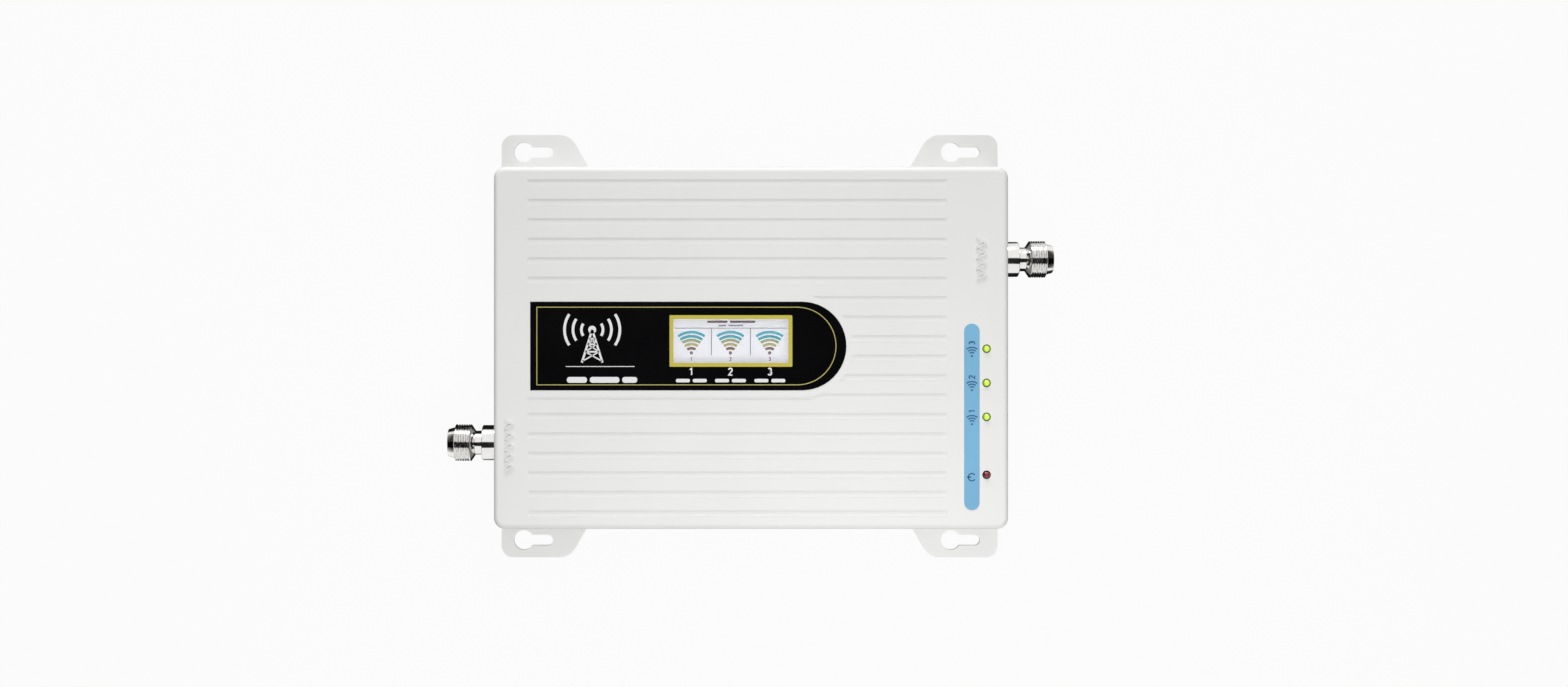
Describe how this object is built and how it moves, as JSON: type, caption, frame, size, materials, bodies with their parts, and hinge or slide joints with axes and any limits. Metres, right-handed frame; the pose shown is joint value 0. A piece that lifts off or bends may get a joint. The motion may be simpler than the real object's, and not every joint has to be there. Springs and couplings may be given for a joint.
{
  "type": "cellular signal booster",
  "caption": "Ribbed white wall-mount signal booster with N-type sockets at both sides, a display window, status lamps and keyhole ears.",
  "frame": {"origin": "centre of the rear face of the base plate, which lies on the surface; bottom centre of the bounding box", "axes": "+X along the long side towards the indoor antenna socket, +Y along the short side towards the upper ears, +Z out of the front face"},
  "size_m": [0.2618, 0.186, 0.027],
  "materials": {
    "plate_paint": "white baked paint on aluminium sheet, satin",
    "cover_paint": "white baked paint on a die-cast aluminium shell, satin with a fine texture",
    "panel_black": "glossy black printed film",
    "panel_glass": "clear window",
    "strip_blue": "light blue printed film, satin",
    "led_green": "tinted clear resin, lit",
    "led_red": "tinted clear resin",
    "tinned_metal": "tinned",
    "black_nylon": "moulded",
    "solder_mask": "glass-fibre board with a green solder mask, satin",
    "brass_nickel": "nickel plate over brass, bright",
    "screw_steel": "zinc plated",
    "bracket_steel": "zinc plated sheet",
    "bright_nickel": "bright nickel plate over brass",
    "ptfe": "white PTFE",
    "gold_plate": "gold plate over brass, satin",
    "shield_tin": "tinned sheet, drawn",
    "chip_black": "moulded epoxy",
    "filter_ceramic": "ceramic with a metal lid",
    "silvered_ceramic": "ceramic block, silver fired on",
    "crystal_can": "nickel plated can",
    "ferrite": "shielded ferrite, matt",
    "capacitor_can": "aluminium can with a printed base mark",
    "jack_black": "moulded",
    "spring_bronze": "tin-bronze strip",
    "bezel_steel": "stamped steel",
    "display_glass": "display glass over a white backlight, lit",
    "nylon_white": "moulded nylon",
    "ribbon_amber": "polyimide film",
    "socket_ivory": "moulded",
    "latch_brown": "moulded",
    "spreader_aluminium": "milled",
    "pad_pink": "silicone gap pad"
  },
  "bodies": {
    "chassis": {"base_plate": "plate_paint", "led_signal_1": "led_green", "led_signal_2": "led_green", "led_signal_3": "led_green", "led_power": "led_red", "led_leads": "tinned_metal", "led_spacers": "black_nylon", "main_pcb": "solder_mask", "pcb_standoffs": "brass_nickel", "pcb_screws": "screw_steel", "cover_screws": "screw_steel", "outdoor_bracket": "bracket_steel", "indoor_bracket": "bracket_steel", "bracket_screws": "screw_steel", "power_amplifiers": "chip_black", "band_filters": "filter_ceramic", "outdoor_duplexers": "silvered_ceramic", "indoor_duplexers": "silvered_ceramic", "controller_chip": "chip_black", "crystal": "crystal_can", "voltage_regulators": "chip_black", "power_inductors": "ferrite", "bulk_capacitors": "capacitor_can", "dc_jack_housing": "jack_black", "dc_jack_pin": "brass_nickel", "dc_jack_terminals": "tinned_metal", "lcd_bezel": "bezel_steel", "lcd_glass": "display_glass", "lcd_board": "solder_mask", "lcd_standoffs": "nylon_white", "lcd_ribbon": "ribbon_amber", "zif_socket": "socket_ivory", "heat_spreaders": "spreader_aluminium", "thermal_pads": "pad_pink", "outdoor_connector_shell": "bright_nickel", "outdoor_connector_insulator": "ptfe", "outdoor_connector_contact": "gold_plate", "outdoor_connector_screws": "screw_steel", "indoor_connector_shell": "bright_nickel", "indoor_connector_insulator": "ptfe", "indoor_connector_contact": "gold_plate", "indoor_connector_screws": "screw_steel", "uplink_shield_frame_1": "shield_tin", "uplink_shield_lid_1": "shield_tin", "uplink_shield_frame_2": "shield_tin", "uplink_shield_lid_2": "shield_tin", "uplink_shield_frame_3": "shield_tin", "uplink_shield_lid_3": "shield_tin", "downlink_shield_frame_1": "shield_tin", "downlink_shield_lid_1": "shield_tin", "downlink_shield_frame_2": "shield_tin", "downlink_shield_lid_2": "shield_tin", "downlink_shield_frame_3": "shield_tin", "downlink_shield_lid_3": "shield_tin"},
    "cover": {"front_cover": "cover_paint", "label_overlay": "panel_black", "lcd_window": "panel_glass", "status_strip": "strip_blue"},
    "ribbon_latch": {"zif_latch": "latch_brown"},
    "jack_leaf": {"dc_jack_spring": "spring_bronze"}
  },
  "joints": [
    {"name": "cover_lift", "type": "slide", "parent": "chassis", "child": "cover", "axis": [0, 0, 1], "range_m": [0, 0.045]},
    {"name": "ribbon_latch_flip", "type": "hinge", "parent": "chassis", "child": "ribbon_latch", "pos_m": [-0.0544, 0.003, 0.01382], "axis": [0, -1, 0], "range_deg": [0, 90]},
    {"name": "jack_leaf_press", "type": "hinge", "parent": "chassis", "child": "jack_leaf", "pos_m": [0.0976, -0.0417, 0.01475], "axis": [0, 1, 0], "range_deg": [0, 3], "stiffness_Nm_per_rad": 0.3}
  ]
}
